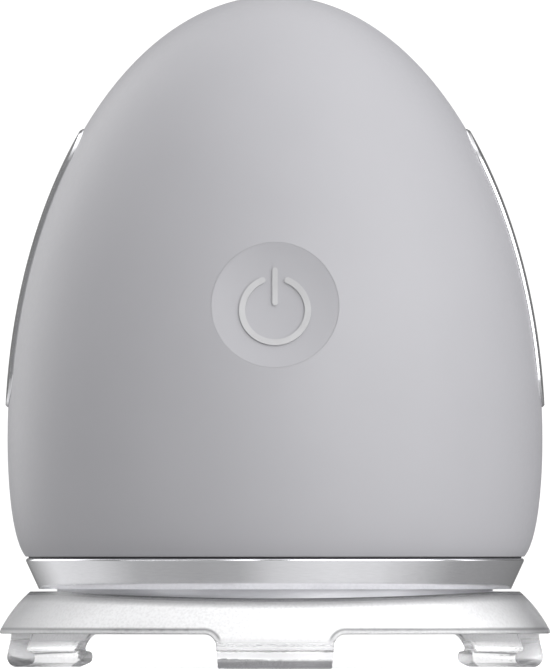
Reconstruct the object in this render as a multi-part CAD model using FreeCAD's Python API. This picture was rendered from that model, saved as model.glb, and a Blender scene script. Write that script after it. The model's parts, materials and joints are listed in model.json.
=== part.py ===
import FreeCAD
import Part

import math
import os

# Egg-shaped ion facial massager standing on its clear pad ring.
# Millimetres, +Z up, origin on the floor under the egg's axis, button facing -Y.

# Small allowance that lets a cutting tool run past the face it opens
OVERRUN = 1.0

# How near an edge's middle lies to a surface that it belongs to
NEAR = 0.05

# Clear pad ring: flange, flared skirt and three claws with lips
CLAW_DROP = 4.23
SKIRT_HEIGHT = 5.23
RING_FIT = 0.3
RING_LAND = 3.06
RING_FLARE = 5.17
RING_CURVE = 15.38
RING_WALL = 2.63
RING_FLANGE = 1.6
RING_LEDGE = 1.2
RING_DIP = 0.8
RING_DIP_HALF_WIDTH = 27.0
SKIRT_EDGE_ROUND = 0.25
CLAW_COUNT = 3
CLAW_EDGE = 1.3
CLAW_FOOT_HALF_WIDTH = 6.95
CLAW_ROOT_HALF_WIDTH = 7.3
CLAW_FILLET = 1.4
CLAW_FILLET_SWEEP = 90.0
FOOT_FLAT = 1.2
LIP_REACH = 4.3
LIP_HEIGHT = 1.95
LIP_LIFT = 0.4
LIP_ROUND = 0.65
LIP_ROOT = 0.35
LIP_NOSE_SHARE = 0.95
LIP_TOP_SHARE = 0.55
LIP_ROOT_SHARE = 0.3
GRIP_RIB_COUNT = 6
GRIP_RIB_RADIUS = 0.8
GRIP_RIB_CLEARANCE = 0.06

# Metal probe: the cup whose domed face meets the skin
PROBE_RADIUS = 27.1
PROBE_RISE = 0.3
PROBE_DOME = 0.5
PROBE_EDGE = 1.8
PROBE_WALL = 1.2
PROBE_SEAT_RISE = 0.9

# Chrome collar and the dark seal above it
RING_GAP = 0.31
COLLAR_HEIGHT = 3.83
COLLAR_LAND = 2.27
COLLAR_FLARE = 1.61
COLLAR_FIT = 0.15
COLLAR_EDGE_ROUND = 0.28
SEAL_THICKNESS = 0.2
SEAL_INSET = 0.35

# Egg housing: an ellipse above the equator and a drawn-in flank below it
FOOT_LIP = 0.04
FOOT_ROUND = 0.2
EGG_BULGE = 2.27
EQUATOR_RISE = 14.5
CROWN_RISE = 55.3
FOOT_LEAN = 40.0
EQUATOR_PULL = 4.0
FOOT_PULL = 3.0
SHELL_WALL = 2.4
SEAM_STEP = 1.4
SEAM_TONGUE = 1.5
SEAM_GAP = 0.1

# Where the turned egg surfaces start and end, clear of every cut in them
EGG_START_ANGLE = 65.0

# Side contact plates for the hand
PLATE_WIDTH = 10.0
PLATE_LOW_RISE = 4.1
PLATE_LENGTH = 34.6
PLATE_CORNER = 4.0
PLATE_PROUD = 0.35
PLATE_SEAT = 0.7
PLATE_GAP = 0.1
PLATE_EDGE = 0.25
POST_RADIUS = 1.0
POST_OFFSET = 3.2
POST_RISE = 10.0
POST_REACH = 1.0
POST_FIT = 0.1

# Power button: dished cap, retaining flange, stem and raised icon
BUTTON_RISE = 16.57
BUTTON_RADIUS = 7.93
BUTTON_GAP = 0.08
DISH_DEPTH = 1.4
CAP_SEAT = 4.1
CAP_PLAY = 0.08
CAP_FLANGE_WIDTH = 1.2
CAP_FLANGE = 0.9
SEAT_MARGIN = 0.8
STEM_RADIUS = 1.6
STEM_LENGTH = 0.9
ICON_RADIUS = 4.06
ICON_STROKE = 0.76
ICON_DROP = 0.52
ICON_GAP_ANGLE = 22.5
ICON_BAR_TOP = 4.8
ICON_BAR_LENGTH = 4.7
ICON_BAR_WIDTH = 0.66
ICON_PROUD = 0.22
ICON_DEPTH = 0.8

# Push switch under the cap
SWITCH_SIDE = 6.0
SWITCH_HEIGHT = 3.0
SWITCH_CORNER = 0.5
PLUNGER_RADIUS = 1.7
PLUNGER_PROUD = 0.5
PLUNGER_DEPTH = 1.5
PLUNGER_FIT = 0.1

# Main board, its chips, lamps and the posts that carry it
BOARD_HALF_WIDTH = 12.0
BOARD_TOP = 14.0
BOARD_BOTTOM = 17.0
BOARD_THICKNESS = 1.2
BOARD_CORNER = 1.5
BOARD_HOLE_INSET = 2.8
BOARD_POST_RADIUS = 2.0
LAMP_COUNT = 4
LAMP_SPREAD = 4.7
LAMP_LENGTH = 1.6
LAMP_WIDTH = 0.9
LAMP_HEIGHT = 0.6
CHIP_SIDE = 5.0
CHIP_HEIGHT = 0.9
CHIP_DROP = 8.0
COIL_SIDE = 4.0
COIL_HEIGHT = 2.0
COIL_SPACING = 7.0
SOCKET_WIDTH = 6.0
SOCKET_DEPTH = 3.6
SOCKET_HEIGHT = 3.0
SOCKET_RISE = 8.0
SOCKET_WALL = 0.72

# Screws and the bosses that take them
SCREW_RADIUS = 0.9
SCREW_HOLE_RADIUS = 1.2
SCREW_HEAD_RADIUS = 1.8
SCREW_HEAD = 1.2
SCREW_BITE = 4.5
SCREW_DRIVE_RADIUS = 0.6
SCREW_DRIVE_DEPTH = 0.6
BOSS_INSET = 2.5
BOSS_ANGLE = 46.5
BOSS_RADIUS = 2.5
BOSS_HEIGHT = 9.0
BOSS_RIB = 1.6

# Base plate with the mast that carries the battery
BASE_FIT = 0.2
BASE_FLANGE = 2.0
BASE_FLOOR = 2.2
BASE_RIM = 3.1
MAST_HALF_WIDTH = 14.0
MAST_FRONT = 2.0
MAST_THICKNESS = 1.6
MAST_HEIGHT = 51.0
MAST_CORNER = 4.0
SHELF_RISE = 12.5
SHELF_THICKNESS = 1.6
SHELF_FRONT_LIP = 1.2

# Battery and the foam tape behind it
CELL_WIDTH = 25.0
CELL_THICKNESS = 8.0
CELL_HEIGHT = 36.0
CELL_ROUND = 2.0
TAPE_THICKNESS = 0.4
TAPE_MARGIN = 2.5

# Vibration motor: can, rubber sleeve, shaft and eccentric weight
MOTOR_RADIUS = 3.5
MOTOR_LENGTH = 12.0
MOTOR_SETBACK = 13.0
MOTOR_RISE = 6.2
MOTOR_END = 3.0
SLEEVE_WALL = 1.2
SLEEVE_LENGTH = 8.0
SLEEVE_FIT = 0.03
CRADLE_WALL = 1.6
CRADLE_LENGTH = 6.0
CRADLE_FIT = 0.05
SHAFT_RADIUS = 0.5
SHAFT_FIT = 0.05
SHAFT_LENGTH = 13.0
SHAFT_DEPTH = 7.0
WEIGHT_RADIUS = 3.1
WEIGHT_LENGTH = 4.0
WEIGHT_GAP = 1.0
HUB_RADIUS = 1.0

# Probe carrier with its snap hooks, heater film, sensor and contact pin
CARRIER_FIT = 0.15
CARRIER_WIDTH = 4.4
CARRIER_LIFT = 0.4
HOOK_COUNT = 3
HOOK_INSET = 3.35
HOOK_THICKNESS = 1.4
HOOK_WIDTH = 4.0
HOOK_BARB = 0.7
HOOK_BARB_HEIGHT = 1.8
HOOK_SLOT_FIT = 0.2
HEATER_MARGIN = 10.1
HEATER_THICKNESS = 0.3
SENSOR_LENGTH = 2.4
SENSOR_WIDTH = 1.4
SENSOR_HEIGHT = 1.0
PIN_RADIUS = 0.8
PIN_COLLAR_RADIUS = 1.4
PIN_COLLAR = 1.0
PIN_INSET = 7.6
PIN_TAIL = 1.5
PIN_FIT = 0.1

# Charging port, its insulator and the small board under it
PORT_RISE = 5.0
PORT_WIDTH = 8.94
PORT_HEIGHT = 3.26
PORT_LENGTH = 7.3
PORT_WALL = 0.3
PORT_RECESS = 0.3
PORT_GAP = 0.2
TONGUE_WIDTH = 6.7
TONGUE_THICKNESS = 0.7
TONGUE_LENGTH = 4.5
PORT_BLOCK = 1.6
CHARGE_BOARD_WIDTH = 15.0
CHARGE_BOARD_LENGTH = 12.0
CHARGE_BOARD_THICKNESS = 1.0
CHARGE_BOARD_SETBACK = 4.2
CHARGE_POST_RADIUS = 1.8
CHARGE_POST_INSET = 2.4

# Leaf springs from the mast to the contact plates
LEAF_THICKNESS = 0.3
LEAF_WIDTH = 3.0
LEAF_LAP = 5.0
LEAF_BEND = 1.2
LEAF_TIP = 0.6

# Heights worked up from the floor
skirt_z = CLAW_DROP
ring_top_z = skirt_z + SKIRT_HEIGHT
collar_z = ring_top_z + RING_GAP
collar_top_z = collar_z + COLLAR_HEIGHT
foot_z = collar_top_z + SEAL_THICKNESS
equator_z = foot_z + EQUATOR_RISE
probe_face_z = skirt_z + PROBE_RISE
probe_rim_z = collar_z + PROBE_SEAT_RISE
base_top_z = collar_top_z + BASE_FLANGE
base_floor_z = base_top_z - BASE_FLOOR

# Radii worked outward from the probe
ring_bore = PROBE_RADIUS + RING_FIT
ring_top_radius = ring_bore + RING_LAND
claw_radius = ring_top_radius + RING_FLARE
collar_radius = PROBE_RADIUS + COLLAR_LAND
collar_top_radius = collar_radius + COLLAR_FLARE
foot_radius = collar_top_radius + FOOT_LIP
egg_radius = foot_radius + EGG_BULGE
base_radius = foot_radius - SHELL_WALL - BASE_FIT
base_hollow = PROBE_RADIUS - BASE_RIM
carrier_radius = PROBE_RADIUS - PROBE_WALL - CARRIER_FIT
HOOK_RADIUS = carrier_radius - HOOK_INSET
HEATER_RADIUS = PROBE_RADIUS - HEATER_MARGIN
PIN_OFFSET = PROBE_RADIUS - PIN_INSET
BOSS_X = (base_hollow - BOSS_INSET) * math.cos(math.radians(BOSS_ANGLE))
BOSS_Y = (base_hollow - BOSS_INSET) * math.sin(math.radians(BOSS_ANGLE))

UP = FreeCAD.Vector(0, 0, 1)
ACROSS = FreeCAD.Vector(1, 0, 0)
FRONT_ANGLE = -90.0


# Shape helpers


def point(x, y, z):
    return FreeCAD.Vector(x, y, z)


def profile_point(radius, z):
    """A point of a profile that is turned about the Z axis."""
    return point(radius, 0, z)


def line(start, end):
    return Part.LineSegment(start, end).toShape()


def arc(start, middle, end):
    return Part.Arc(start, middle, end).toShape()


def on_circle(centre, radius, angle):
    """Point of a circle in the XZ plane, at degrees from +X towards +Z."""
    turn = math.radians(angle)
    return centre + profile_point(radius * math.cos(turn), radius * math.sin(turn))


def circle_arc(centre, radius, start, end):
    """Arc in the XZ plane between two angles in degrees."""
    return arc(*[on_circle(centre, radius, angle) for angle in (start, (start + end) / 2, end)])


def turn_to(centre, target):
    """Angle in degrees from +X of the way from a centre to a target."""
    way = target - centre
    return math.degrees(math.atan2(way.z, way.x))


def touch_angle(corner, centre, radius, side):
    """Angle at which a line from a corner touches a circle, on one side of it or the other."""
    return turn_to(centre, corner) + side * math.degrees(math.acos(radius / (corner - centre).Length))


def arc_centre(start, end, radius):
    """Centre of the arc that bulges up and out between a start and a lower, wider end."""
    chord = end - start
    across = profile_point(chord.z, -chord.x).normalize()
    return (start + end) / 2 + across * math.sqrt(radius**2 - (chord.Length / 2) ** 2)


def face_of(edges):
    return Part.Face(Part.Wire(Part.__sortEdges__(edges)))


def turned(edges):
    """Solid of revolution about Z from the edges of a closed profile."""
    return face_of(edges).revolve(point(0, 0, 0), UP, 360)


def turned_polygon(points):
    corners = [profile_point(*p) for p in points]
    return turned([line(a, b) for a, b in zip(corners, corners[1:] + corners[:1])])


def ring(outer, inner, low, high):
    return turned_polygon([(inner, low), (outer, low), (outer, high), (inner, high)])


def cylinder(radius, start, axis, length):
    return Part.makeCylinder(radius, length, start, axis)


def box(low, high):
    size = high - low
    return Part.makeBox(size.x, size.y, size.z, low)


def rounded_plate(low, high, corner):
    """Upright plate with its vertical edges rounded."""
    plate = box(low, high)
    upright = [e for e in plate.Edges if abs(e.tangentAt(e.FirstParameter).z) > 0.5]
    return plate.makeFillet(corner, upright)


def turned_copies(shape, count, first=0.0):
    """Copies of a shape spaced evenly about Z."""
    copies = []
    for index in range(count):
        copy = shape.copy()
        copy.rotate(point(0, 0, 0), UP, first + 360.0 * index / count)
        copies.append(copy)
    return copies


def fused(shapes):
    whole = shapes[0]
    if len(shapes) > 1:
        whole = whole.fuse(shapes[1:])
    return whole.removeSplitter()


def mirrored(shape):
    """The same piece on the other side, left for right."""
    return shape.mirror(point(0, 0, 0), ACROSS)


# Egg surfaces


def flank_poles(offset):
    """Control points of the curve from the equator down to the foot."""
    lean = math.radians(FOOT_LEAN)
    foot = profile_point(foot_radius + offset, foot_z)
    equator = profile_point(egg_radius + offset, equator_z)
    return [
        equator,
        equator - profile_point(0, EQUATOR_PULL),
        foot + profile_point(FOOT_PULL * math.sin(lean), FOOT_PULL * math.cos(lean)),
        foot,
    ]


def egg(offset, drop=0.0):
    """The egg grown by an offset, run straight down by drop below its foot."""
    flank = Part.BezierCurve()
    flank.setPoles(flank_poles(offset))
    across, rise = egg_radius + offset, CROWN_RISE + offset
    crown = Part.Ellipse(
        profile_point(0, equator_z + rise), profile_point(across, equator_z), profile_point(0, equator_z)
    )
    crown_arc = Part.ArcOfEllipse(crown, -math.pi / 2, 0).toShape()
    if crown_arc.BoundBox.XMin < -across / 2:
        crown_arc = Part.ArcOfEllipse(crown, 0, math.pi / 2).toShape()
    low = foot_z - drop
    rim = profile_point(foot_radius + offset, low)
    edges = [
        crown_arc,
        flank.toShape(),
        line(profile_point(0, low), rim),
        line(profile_point(0, low), profile_point(0, equator_z + rise)),
    ]
    if drop:
        edges.append(line(rim, profile_point(foot_radius + offset, foot_z)))
    body = turned(edges)
    body.rotate(point(0, 0, 0), UP, EGG_START_ANGLE)
    return body


def flank_radius(z):
    """Outer radius of the egg at a height between the foot and the equator."""
    poles = flank_poles(0)
    curve = Part.BezierCurve()
    curve.setPoles(poles)
    low, high = 0.0, 1.0
    for _ in range(50):
        middle = (low + high) / 2
        if curve.value(middle).z > z:
            low = middle
        else:
            high = middle
    return curve.value(low).x


def crown_radius(z):
    """Outer radius of the egg at a height above the equator."""
    return egg_radius * math.sqrt(1 - ((z - equator_z) / CROWN_RISE) ** 2)


def half_space(front):
    """A box that holds everything in front of the seam plane, or behind it."""
    reach = egg_radius + OVERRUN
    top = equator_z + CROWN_RISE + OVERRUN
    if front:
        return box(point(-reach, -reach, foot_z - OVERRUN), point(reach, 0, top))
    return box(point(-reach, 0, foot_z - OVERRUN), point(reach, reach, top))


# Button frame: u to the right, v up the egg, w out of it


button_z = equator_z + BUTTON_RISE
button_radius_at = crown_radius(button_z)
button_lean = math.atan2(BUTTON_RISE / CROWN_RISE**2, button_radius_at / egg_radius**2)
button_placement = FreeCAD.Placement(
    point(0, -button_radius_at, button_z),
    FreeCAD.Rotation(ACROSS, 90 - math.degrees(button_lean)),
)
cap_back = -CAP_SEAT - CAP_PLAY - CAP_FLANGE
stem_end = cap_back - STEM_LENGTH
switch_top = stem_end - PLUNGER_PROUD
board_front = switch_top - SWITCH_HEIGHT
board_back = board_front - BOARD_THICKNESS


def on_button(shape):
    """Moves a shape drawn in the button frame to its place in the egg."""
    placed = shape.copy()
    placed.Placement = button_placement.multiply(placed.Placement)
    return placed


def button_cylinder(radius, low, high, u=0.0, v=0.0):
    return on_button(cylinder(radius, point(u, v, low), UP, high - low))


def dish_torus(growth):
    """Torus whose outside shapes the dish, so that the rim meets the egg all round."""
    across = egg_radius**2
    along = CROWN_RISE**2
    slope = button_radius_at**2 / across**2 + BUTTON_RISE**2 / along**2
    round_radius = button_radius_at / math.cos(button_lean)
    upright_radius = across * along * slope**1.5
    hollow = 2 * DISH_DEPTH / BUTTON_RADIUS**2
    dish_across = 1 / (hollow - 1 / round_radius)
    dish_upright = 1 / (hollow - 1 / upright_radius)
    centre = point(0, 0, dish_across - DISH_DEPTH)
    torus = Part.makeTorus(
        dish_across - dish_upright, dish_upright + growth, centre, point(0, 1, 0)
    )
    return on_button(torus)


# Clear pad ring


flange_z = ring_top_z - RING_FLANGE
ring_inner_curve = RING_CURVE - RING_WALL
ring_rim = profile_point(ring_top_radius, ring_top_z)
ring_ledge = profile_point(ring_bore + RING_LEDGE, flange_z)
ring_outer_centre = arc_centre(ring_rim, profile_point(claw_radius, 0), RING_CURVE)
ring_inner_centre = arc_centre(ring_ledge, profile_point(claw_radius - RING_WALL, 0), ring_inner_curve)


def arc_point(centre, radius, z):
    """Outermost point of a circle at a height."""
    return profile_point(centre.x + math.sqrt(radius**2 - (z - centre.z) ** 2), z)


def skirt_radius(z):
    """Outer radius of the ring's flared wall at a height."""
    return arc_point(ring_outer_centre, RING_CURVE, z).x


def claw_foot():
    """Outside of the wall from the rim down to the flat of the foot."""
    edge = arc_point(ring_outer_centre, RING_CURVE - CLAW_EDGE, CLAW_EDGE)
    meeting = turn_to(ring_outer_centre, edge)
    flat_end = profile_point(edge.x - FOOT_FLAT, 0)
    edges = [
        circle_arc(ring_outer_centre, RING_CURVE, turn_to(ring_outer_centre, ring_rim), meeting),
        circle_arc(edge, CLAW_EDGE, meeting, -90),
        line(profile_point(edge.x, 0), flat_end),
    ]
    return edges, flat_end


def claw_lip(flat_end):
    """Lip from the flat of the foot round its nose and up the inside of the wall."""
    nose = claw_radius - LIP_REACH
    depth = arc_point(ring_inner_centre, ring_inner_curve, LIP_HEIGHT).x - nose
    tip = min(LIP_ROUND, LIP_NOSE_SHARE * (LIP_HEIGHT - LIP_LIFT) / 2, LIP_TOP_SHARE * depth)
    root = min(LIP_ROOT, LIP_ROOT_SHARE * depth)
    low = profile_point(nose + tip, LIP_LIFT + tip)
    high = profile_point(nose + tip, LIP_HEIGHT - tip)
    hollow = arc_point(ring_inner_centre, ring_inner_curve - root, LIP_HEIGHT + root)
    under = touch_angle(flat_end, low, tip, -1)
    meeting = turn_to(ring_inner_centre, hollow)
    return [
        line(flat_end, on_circle(low, tip, under)),
        circle_arc(low, tip, under, -180),
        line(profile_point(nose, low.z), profile_point(nose, high.z)),
        circle_arc(high, tip, 180, 90),
        line(profile_point(high.x, LIP_HEIGHT), profile_point(hollow.x, LIP_HEIGHT)),
        circle_arc(hollow, root, -90, meeting),
        circle_arc(ring_inner_centre, ring_inner_curve, meeting, turn_to(ring_inner_centre, ring_ledge)),
    ]


def ring_profile():
    """Flange, flared skirt and lip, as if the claws ran all the way round."""
    outside, flat_end = claw_foot()
    flange = [
        line(profile_point(ring_bore, ring_top_z), ring_rim),
        line(ring_ledge, profile_point(ring_bore, flange_z)),
        line(profile_point(ring_bore, flange_z), profile_point(ring_bore, ring_top_z)),
    ]
    return flange + outside + claw_lip(flat_end)


def claw_tongue():
    """The stretch of wall that one claw keeps, seen from the front, run out through the ring."""
    sweep = math.radians(CLAW_FILLET_SWEEP)
    root_z = skirt_z - CLAW_FILLET * math.sin(sweep)
    spread = CLAW_ROOT_HALF_WIDTH + CLAW_FILLET * (1 - math.cos(sweep))
    half = math.radians(CLAW_FILLET_SWEEP / 2)
    middle = point(
        CLAW_ROOT_HALF_WIDTH + CLAW_FILLET * (1 - math.cos(half)), 0, root_z + CLAW_FILLET * math.sin(half)
    )
    foot = point(CLAW_FOOT_HALF_WIDTH, 0, -OVERRUN)
    root = point(CLAW_ROOT_HALF_WIDTH, 0, root_z)
    shoulder = point(spread, 0, skirt_z)
    top = point(spread, 0, skirt_z + OVERRUN)

    def left(corner):
        return point(-corner.x, corner.y, corner.z)

    edges = [
        line(foot, root),
        arc(root, middle, shoulder),
        line(shoulder, top),
        line(top, left(top)),
        line(left(top), left(shoulder)),
        arc(left(shoulder), left(middle), left(root)),
        line(left(root), left(foot)),
        line(left(foot), foot),
    ]
    return face_of(edges).extrude(point(0, -claw_radius - OVERRUN, 0))


def middle_of(edge):
    return edge.valueAt((edge.FirstParameter + edge.LastParameter) / 2)


def hem_edges(shape):
    """Edges where the gaps between the claws meet the ring's flared outside."""
    chosen = []
    for edge in shape.Edges:
        middle = middle_of(edge)
        on_hem = CLAW_EDGE + NEAR < middle.z < skirt_z + NEAR
        if on_hem and abs(math.hypot(middle.x, middle.y) - skirt_radius(middle.z)) < NEAR:
            chosen.append(edge)
    return chosen


def ring_blank():
    """The ring before its gaps are cut, in one sector for each claw."""
    sweep = 360.0 / CLAW_COUNT
    sector = face_of(ring_profile()).revolve(point(0, 0, 0), UP, sweep)
    sectors = turned_copies(sector, CLAW_COUNT, FRONT_ANGLE - sweep / 2)
    return sectors[0].fuse(sectors[1:])


def make_pad_ring():
    whole = ring_blank()
    gaps = cylinder(claw_radius + OVERRUN, point(0, 0, -OVERRUN), UP, skirt_z + OVERRUN)
    gaps = gaps.cut(turned_copies(claw_tongue(), CLAW_COUNT))
    clawed = whole.cut(gaps)
    clawed = clawed.makeFillet(SKIRT_EDGE_ROUND, hem_edges(clawed))
    saddle_radius = (RING_DIP_HALF_WIDTH**2 + RING_DIP**2) / (2 * RING_DIP)
    saddle_axis_z = ring_top_z - RING_DIP + saddle_radius
    reach = claw_radius + OVERRUN
    saddle = cylinder(saddle_radius, point(0, -reach, saddle_axis_z), point(0, 1, 0), 2 * reach)
    dipped = clawed.cut(saddle)
    rib_centre = PROBE_RADIUS + GRIP_RIB_CLEARANCE + GRIP_RIB_RADIUS
    rib = cylinder(GRIP_RIB_RADIUS, point(0, -rib_centre, flange_z), UP, RING_FLANGE - RING_DIP)
    ribs = turned_copies(rib, GRIP_RIB_COUNT, 180.0 / GRIP_RIB_COUNT)
    return dipped.fuse(ribs)


# Metal probe


def probe_profile(wall):
    """Cup outline from the axis to the rim, taken in by a wall."""
    radius = PROBE_RADIUS - wall
    face = probe_face_z + wall
    edge = PROBE_EDGE - wall / 2
    flat = radius - edge
    sphere = (flat**2 + PROBE_DOME**2) / (2 * PROBE_DOME)
    half = flat / 2
    half_z = face + sphere - math.sqrt(sphere**2 - half**2)
    corner_z = face + PROBE_DOME + edge
    return [
        arc(profile_point(0, face), profile_point(half, half_z), profile_point(flat, face + PROBE_DOME)),
        circle_arc(profile_point(flat, corner_z), edge, -90, 0),
        line(profile_point(radius, corner_z), profile_point(radius, probe_rim_z)),
        line(profile_point(radius, probe_rim_z), profile_point(0, probe_rim_z)),
        line(profile_point(0, probe_rim_z), profile_point(0, face)),
    ]


def make_probe():
    return turned(probe_profile(0)).cut(turned(probe_profile(PROBE_WALL)))


# Collar and seal


def make_collar():
    """Cone that widens upward to a rounded top edge."""
    bore = PROBE_RADIUS + COLLAR_FIT
    low, high = profile_point(bore, collar_z), profile_point(bore, collar_top_z)
    foot = profile_point(collar_radius, collar_z)
    edge = profile_point(collar_top_radius - COLLAR_EDGE_ROUND, collar_top_z - COLLAR_EDGE_ROUND)
    start = touch_angle(foot, edge, COLLAR_EDGE_ROUND, 1)
    return turned(
        [
            line(low, foot),
            line(foot, on_circle(edge, COLLAR_EDGE_ROUND, start)),
            circle_arc(edge, COLLAR_EDGE_ROUND, start, 90),
            line(profile_point(edge.x, collar_top_z), high),
            line(high, low),
        ]
    )


def make_seal():
    return ring(foot_radius - SEAL_INSET, base_radius + BASE_FIT, collar_top_z, foot_z)


# Contact plates


plate_low_z = equator_z + PLATE_LOW_RISE
post_z = plate_low_z + POST_RISE


def plate_prism(growth):
    """Rounded outline of a plate, seen from the side, run out to the right."""
    low = point(0, -PLATE_WIDTH / 2 - growth, plate_low_z - growth)
    high = point(egg_radius + OVERRUN, PLATE_WIDTH / 2 + growth, plate_low_z + PLATE_LENGTH + growth)
    prism = box(low, high)
    along = [e for e in prism.Edges if abs(e.tangentAt(e.FirstParameter).x) > 0.5]
    return prism.makeFillet(PLATE_CORNER + growth, along)


def post_tip():
    """How far out the inner end of a plate's post lies."""
    return crown_radius(post_z) - SHELL_WALL - POST_REACH


def make_right_plate():
    outline = plate_prism(0)
    plate = outline.common(egg(PLATE_PROUD)).cut(egg(-PLATE_SEAT))
    rim = [e for e in plate.Edges if is_outer_rim(e)]
    plate = plate.makeChamfer(PLATE_EDGE, rim)
    tip = post_tip()
    post = cylinder(POST_RADIUS, point(tip, -POST_OFFSET, post_z), ACROSS, egg_radius - tip)
    post = post.common(egg(-PLATE_SEAT + PLATE_PROUD))
    return fused([plate, post])


def is_outer_rim(edge):
    """True for an edge of a plate that lies on its proud outer face."""
    middle = middle_of(edge)
    grown = math.hypot(middle.x, middle.y)
    height = (middle.z - equator_z) / (CROWN_RISE + PLATE_PROUD)
    outer = (egg_radius + PLATE_PROUD) * math.sqrt(1 - height**2)
    return abs(grown - outer) < PLATE_PROUD / 2


# Shells


def rounded_egg():
    """The egg with the edge of its foot rounded."""
    body = egg(0)
    low = [e for e in body.Edges if e.BoundBox.ZMax < foot_z + NEAR]
    rim = [e for e in low if e.BoundBox.XMax > foot_radius - NEAR]
    return body.makeFillet(FOOT_ROUND, rim)


def shell_body(front):
    """One half of the egg's wall with its half of the tongue-and-step seam."""
    wall = rounded_egg().cut(egg(-SHELL_WALL, OVERRUN))
    half = wall.common(half_space(front))
    reach = egg_radius + OVERRUN
    top = equator_z + CROWN_RISE + OVERRUN
    if front:
        band = box(point(-reach, 0, foot_z - OVERRUN), point(reach, SEAM_TONGUE, top))
        tongue = egg(-SEAM_STEP - SEAM_GAP).cut(egg(-SHELL_WALL, OVERRUN)).common(band)
        return fused([half, tongue])
    band = box(point(-reach, -OVERRUN, foot_z - OVERRUN), point(reach, SEAM_TONGUE + SEAM_GAP, top))
    return half.cut(egg(-SEAM_STEP, OVERRUN).common(band))


def base_boss(x, y):
    """Screw boss inside a shell, tied to the wall by a rib."""
    boss = cylinder(BOSS_RADIUS, point(x, y, base_top_z), UP, BOSS_HEIGHT)
    reach = math.hypot(x, y)
    rib = box(
        point(reach, -BOSS_RIB / 2, base_top_z),
        point(egg_radius, BOSS_RIB / 2, base_top_z + BOSS_HEIGHT),
    )
    rib.rotate(point(0, 0, 0), UP, math.degrees(math.atan2(y, x)))
    return boss.fuse(rib.common(egg(-SHELL_WALL / 2)))


def base_pilot(x, y):
    depth = SCREW_BITE + OVERRUN
    return cylinder(SCREW_RADIUS, point(x, y, base_top_z - OVERRUN), UP, depth + OVERRUN)


def board_posts():
    """Places of the board's four posts in the button frame."""
    right = BOARD_HALF_WIDTH - BOARD_HOLE_INSET
    top = BOARD_TOP - BOARD_HOLE_INSET
    bottom = BOARD_HOLE_INSET - BOARD_BOTTOM
    return [(u, v) for u in (-right, right) for v in (bottom, top)]


def plate_pockets():
    """What both plates take out of the shells, with the holes for their posts."""
    pocket = plate_prism(PLATE_GAP).cut(egg(-PLATE_SEAT))
    tip = post_tip()
    hole = cylinder(POST_RADIUS + POST_FIT, point(tip, -POST_OFFSET, post_z), ACROSS, egg_radius - tip)
    right = pocket.fuse(hole)
    return [right, mirrored(right)]


def make_front_shell():
    body = shell_body(True)
    seat_radius = BUTTON_RADIUS + CAP_FLANGE_WIDTH + SEAT_MARGIN
    seat = button_cylinder(seat_radius, -CAP_SEAT, 0).common(egg(-SHELL_WALL / 2))
    additions = [seat]
    for u, v in board_posts():
        post = button_cylinder(BOARD_POST_RADIUS, board_front, 0, u, v)
        additions.append(post.common(egg(-SHELL_WALL / 2)))
    for x in (-BOSS_X, BOSS_X):
        additions.append(base_boss(x, -BOSS_Y))
    body = fused([body] + additions)
    cuts = [button_cylinder(BUTTON_RADIUS, -CAP_SEAT - OVERRUN, OVERRUN)]
    for u, v in board_posts():
        cuts.append(button_cylinder(SCREW_RADIUS, board_front - OVERRUN, board_front + SCREW_BITE, u, v))
    for x in (-BOSS_X, BOSS_X):
        cuts.append(base_pilot(x, -BOSS_Y))
    return body.cut(cuts + plate_pockets())


def make_rear_shell():
    body = shell_body(False)
    bosses = [base_boss(x, BOSS_Y) for x in (-BOSS_X, BOSS_X)]
    body = fused([body] + bosses)
    pilots = [base_pilot(x, BOSS_Y) for x in (-BOSS_X, BOSS_X)]
    return body.cut(pilots + plate_pockets() + [port_slot()])


# Power button


def icon_prism():
    """Standby sign as upright walls: a broken ring and a bar, all ends round."""
    low, high = -CAP_SEAT, CAP_SEAT
    height = high - low
    outer, inner = ICON_RADIUS + ICON_STROKE / 2, ICON_RADIUS - ICON_STROKE / 2
    centre = point(0, -ICON_DROP, low)
    band = cylinder(outer, centre, UP, height).cut(cylinder(inner, centre, UP, height))
    gap = math.radians(ICON_GAP_ANGLE)
    reach = outer + OVERRUN
    left = centre + point(-reach * math.tan(gap), reach, 0)
    right = centre + point(reach * math.tan(gap), reach, 0)
    wedge = Part.Face(Part.makePolygon([centre, right, left, centre])).extrude(point(0, 0, height))
    pieces = [band.cut(wedge)]
    for side in (-1, 1):
        end = centre + point(side * ICON_RADIUS * math.sin(gap), ICON_RADIUS * math.cos(gap), 0)
        pieces.append(cylinder(ICON_STROKE / 2, end, UP, height))
    half = ICON_BAR_WIDTH / 2
    bar_low = ICON_BAR_TOP - ICON_BAR_LENGTH
    bar = box(point(-half, bar_low + half, low), point(half, ICON_BAR_TOP - half, high))
    ends = [cylinder(half, point(0, v, low), UP, height) for v in (bar_low + half, ICON_BAR_TOP - half)]
    return [on_button(fused(pieces)), on_button(fused([bar] + ends))]


def make_icon():
    """The sign's two strokes, following the dish and standing a little proud of it."""
    near, deep = dish_torus(-ICON_PROUD), dish_torus(ICON_DEPTH)
    return [stroke.common(deep).cut(near) for stroke in icon_prism()]


def make_cap(icon):
    radius = BUTTON_RADIUS - BUTTON_GAP
    flange_top = -CAP_SEAT - CAP_PLAY
    top = button_cylinder(radius, flange_top, OVERRUN).common(egg(0)).cut(dish_torus(0))
    flange = button_cylinder(BUTTON_RADIUS + CAP_FLANGE_WIDTH, cap_back, flange_top)
    stem = button_cylinder(STEM_RADIUS, stem_end, cap_back)
    return fused([top, flange, stem]).cut(icon)


# Push switch and main board


def make_plunger():
    return button_cylinder(PLUNGER_RADIUS, switch_top - PLUNGER_DEPTH, stem_end)


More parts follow.
